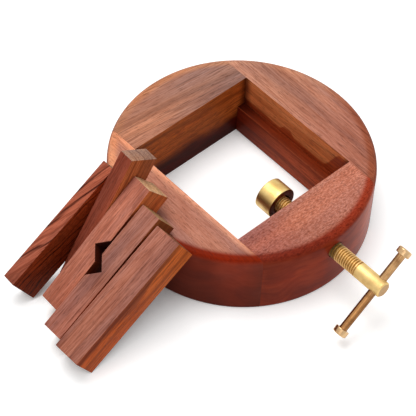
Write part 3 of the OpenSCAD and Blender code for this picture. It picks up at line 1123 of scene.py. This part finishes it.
def tommy_bar():
    middle = bar_point()
    low, high, radius = turned_extent("tommy_bar", middle, BAR_AXIS)
    length = high - low
    outline = [(0, 0), (radius - BAR_CHAMFER, 0), (radius, BAR_CHAMFER)]
    outline += [(radius, length - BAR_CHAMFER), (radius - BAR_CHAMFER, length), (0, length)]
    turned_piece("tommy_bar", middle + BAR_AXIS * low, BAR_AXIS, turned(outline))


def bar_caps():
    middle = bar_point()
    socket = bar_radius() + GLUE_GAP
    for node, axis in (("bar_cap_upper", BAR_AXIS), ("bar_cap_lower", -BAR_AXIS)):
        low, high, radius = turned_extent(node, middle, axis)
        length = high - low
        outline = filleted([
            (0, CAP_SOCKET, 0), (socket, CAP_SOCKET, 0), (socket, 0, CAP_MOUTH_ROUND),
            (radius, 0, CAP_ROUND_IN), (radius, length, CAP_ROUND_OUT), (0, length, 0),
        ])
        turned_piece(node, middle + axis * low, axis, turned(outline))


# The camera

# Fitted to the photograph, with a focal length in pixels of a picture of that width
CAMERA_AZIMUTH = math.radians(-44.31)
CAMERA_ELEVATION = math.radians(50.51)
CAMERA_ROLL = math.radians(2.83)
CAMERA_DISTANCE = 0.8875
CAMERA_AIM = Vector((0, 0, 0.017))
CAMERA_ASIDE = (-0.01529, -0.01376)
SENSOR_MM = 36
PICTURE_PX = 416
FOCAL_PX = 1896.2


def camera():
    a, e, r = CAMERA_AZIMUTH, CAMERA_ELEVATION, CAMERA_ROLL
    back = Vector((math.sin(a) * math.cos(e), -math.cos(a) * math.cos(e), math.sin(e)))
    level = Vector((math.cos(a), math.sin(a), 0))
    upright = back.cross(level)
    right = level * math.cos(r) + upright * math.sin(r)
    up = upright * math.cos(r) - level * math.sin(r)
    data = bpy.data.cameras.new("camera")
    data.sensor_width = SENSOR_MM
    data.lens = SENSOR_MM * FOCAL_PX / PICTURE_PX
    eye = bpy.data.objects.new("camera", data)
    bpy.context.scene.collection.objects.link(eye)
    place = CAMERA_AIM + right * CAMERA_ASIDE[0] + up * CAMERA_ASIDE[1] + back * CAMERA_DISTANCE
    eye.matrix_world = Matrix.Translation(place) @ Matrix((right, up, back)).transposed().to_4x4()
    bpy.context.scene.camera = eye


# The stage

# The lift brightens the floor that the eye sees, from its least near the part to its most away from it, and so
# paints a contact shadow near the part
FLOOR_SIZE = 4.0
FLOOR_DROP = 0.05 * MM
FLOOR_TONE = (0.5, 0.5, 0.497, 1)
FLOOR_SEEN_TONE = (0.86, 0.86, 0.855, 1)
FLOOR_LIFT = (0.04, 0.45)
FLOOR_CONTACT = 60 * MM
FLOOR_OPENNESS = (0.15, 0.55)
FLOOR_WHITE_FROM = 0.3
FLOOR_WHITE_TO = 0.6
FILL_STRENGTH = 0.42
PLAIN_WHITE = (*WHITE, 1)

# Place, size and power of each lamp
LAMPS = {
    "key": ((-0.05, 0.31, 1.35), 0.9, 11.6),
    "fill": ((-0.8, -0.6, 0.9), 0.8, 1.5),
}


def seen_ray(shader):
    """1 for rays that show the background: straight to the eye, mirrored or passed through."""
    path = shader.node("LightPath", {})
    seen = shader.math("MAXIMUM", path.outputs["Is Camera Ray"], path.outputs["Is Glossy Ray"])
    return shader.math("MAXIMUM", seen, path.outputs["Is Transmission Ray"])


def floor_finish():
    """White that keeps the shadows near the part, with a painted contact shadow there, and is plain white away
    from it.
    """
    shader = Shader(bpy.data.materials.new("floor"))
    seen = seen_ray(shader)
    diffuse = shader.node("BsdfDiffuse", {"Color": shader.mix(seen, FLOOR_TONE, FLOOR_SEEN_TONE)})
    # Painted contact shadow: less lift where the part hems the floor in
    openness = shader.node("AmbientOcclusion", {"Distance": FLOOR_CONTACT}).outputs["AO"]
    lift = shader.math("MULTIPLY", seen, shader.remap(openness, *FLOOR_OPENNESS, *FLOOR_LIFT))
    glow = shader.node("Emission", {"Color": PLAIN_WHITE, "Strength": lift})
    near = shader.node("AddShader", {0: diffuse.outputs[0], 1: glow.outputs[0]})
    white = shader.node("Emission", {"Color": PLAIN_WHITE, "Strength": 1.0})
    reach = shader.length(shader.node("TexCoord", {}).outputs["Object"])
    far = shader.math("MULTIPLY", seen, shader.remap(reach, FLOOR_WHITE_FROM, FLOOR_WHITE_TO))
    surface = shader.node("MixShader", {0: far, 1: near.outputs[0], 2: white.outputs[0]})
    return shader.output(surface.outputs[0])


def floor():
    half = FLOOR_SIZE / 2
    corners = [(-half, -half), (half, -half), (half, half), (-half, half)]
    mesh = bmesh.new()
    mesh.faces.new([mesh.verts.new((x, y, -FLOOR_DROP)) for x, y in corners])
    plane = object_from("floor", mesh, Matrix.Identity(4))
    plane.data.materials.append(floor_finish())


def surroundings():
    world = bpy.data.worlds.new("studio")
    bpy.context.scene.world = world
    shader = Shader(world)
    strength = shader.remap(seen_ray(shader), 0, 1, FILL_STRENGTH, 1)
    back = shader.node("Background", {"Color": PLAIN_WHITE, "Strength": strength})
    shader.node("OutputWorld", {"Surface": back.outputs[0]})


def softbox(name, place, size, power):
    """Round lamp that looks at the middle of the part."""
    data = bpy.data.lights.new(name, "AREA")
    data.shape = "DISK"
    data.size = size
    data.energy = power
    lamp = bpy.data.objects.new(name, data)
    bpy.context.scene.collection.objects.link(lamp)
    aim = -Vector(place)
    lamp.matrix_world = Matrix.Translation(place) @ aim.to_track_quat("-Z", "Y").to_matrix().to_4x4()


def studio():
    floor()
    surroundings()
    for name, (place, size, power) in LAMPS.items():
        softbox(name, place, size, power)
    bpy.context.scene.view_settings.view_transform = "Standard"


cad_nodes()
ring()
ledges()
dowels()
blocks()
clamp_screw()
swivel_pad()
threaded_bush()
tommy_bar()
bar_caps()
pad_screw()
camera()
studio()
